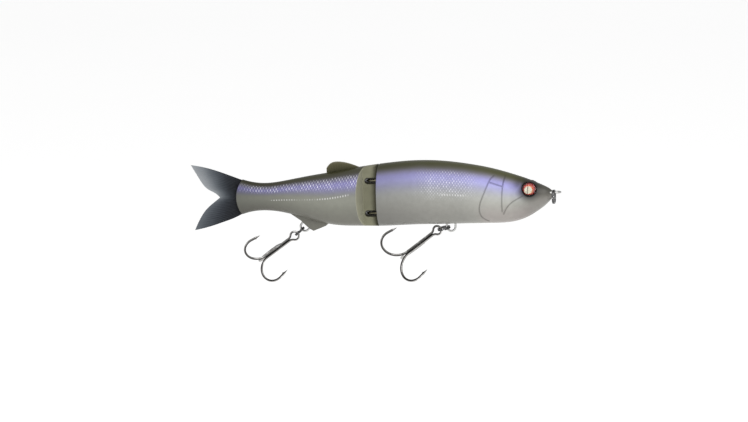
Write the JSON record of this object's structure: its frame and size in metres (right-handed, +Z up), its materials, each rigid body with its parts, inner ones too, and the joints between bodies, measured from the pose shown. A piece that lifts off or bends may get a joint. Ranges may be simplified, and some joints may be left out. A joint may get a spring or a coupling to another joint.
{
  "type": "jointed swimbait",
  "caption": "Two-piece hard swimbait with a vertical pin joint, wire line tie, split rings, treble hooks, soft forked tail and soft back fin.",
  "frame": {"origin": "centre of the outer bend of the line-tie wire, on the fish's middle plane", "axes": "+X forward, the way the fish swims; +Y to the fish's left; +Z up"},
  "size_m": [0.1837, 0.0321, 0.0597],
  "materials": {
    "body_gloss": "painted pearl, clear coated",
    "rear_gloss": "painted pearl, clear coated",
    "eye_print": "printed foil",
    "eye_clear": "clear dome",
    "stainless_wire": "bright drawn wire",
    "ring_steel": "dark nickel",
    "hook_steel": "dark nickel",
    "ballast_metal": "cast slug, unfinished",
    "soft_fin": "soft moulded",
    "soft_tail": "soft moulded"
  },
  "bodies": {
    "front_section": {"front_shell_left": "body_gloss", "front_shell_right": "body_gloss", "eye_disc_left": "eye_print", "eye_disc_right": "eye_print", "eye_dome_left": "eye_clear", "eye_dome_right": "eye_clear", "line_tie_eye": "stainless_wire", "hinge_eye_upper": "stainless_wire", "hinge_eye_lower": "stainless_wire", "front_hook_hanger": "stainless_wire", "ballast_fore": "ballast_metal", "ballast_aft": "ballast_metal"},
    "rear_section": {"rear_shell_left": "rear_gloss", "rear_shell_right": "rear_gloss", "hinge_pin": "stainless_wire", "rear_hook_hanger": "stainless_wire", "ballast_rear": "ballast_metal", "dorsal_fin": "soft_fin", "tail_fin": "soft_tail"},
    "nose_ring": {"nose_split_ring": "ring_steel"},
    "front_ring": {"front_split_ring": "ring_steel"},
    "front_treble": {"front_treble_double": "hook_steel", "front_treble_single": "hook_steel"},
    "rear_ring": {"rear_split_ring": "ring_steel"},
    "rear_treble": {"rear_treble_double": "hook_steel", "rear_treble_single": "hook_steel"}
  },
  "joints": [
    {"name": "body_swing", "type": "hinge", "parent": "front_section", "child": "rear_section", "pos_m": [-0.09185, 0, 0], "axis": [0, 0, 1], "range_deg": [-45, 45]},
    {"name": "nose_ring_swing", "type": "hinge", "parent": "front_section", "child": "nose_ring", "pos_m": [-0.00105, -0.00185, 0], "axis": [-1, 0, 0], "range_deg": [0, 180]},
    {"name": "front_ring_swing", "type": "hinge", "parent": "front_section", "child": "front_ring", "pos_m": [-0.05235, 0, -0.0169], "axis": [0, -1, 0], "range_deg": [0, 90]},
    {"name": "front_hook_swing", "type": "hinge", "parent": "front_ring", "child": "front_treble", "pos_m": [-0.05876, 0, -0.01826], "axis": [0.0289, -0.9903, -0.1361], "range_deg": [0, 40]},
    {"name": "rear_ring_swing", "type": "hinge", "parent": "rear_section", "child": "rear_ring", "pos_m": [-0.12495, 0, -0.0169], "axis": [0, -1, 0], "range_deg": [-10, 80]},
    {"name": "rear_hook_swing", "type": "hinge", "parent": "rear_ring", "child": "rear_treble", "pos_m": [-0.12926, -0.00161, -0.02078], "axis": [0.2296, -0.9511, 0.2068], "range_deg": [-30, 40]}
  ]
}
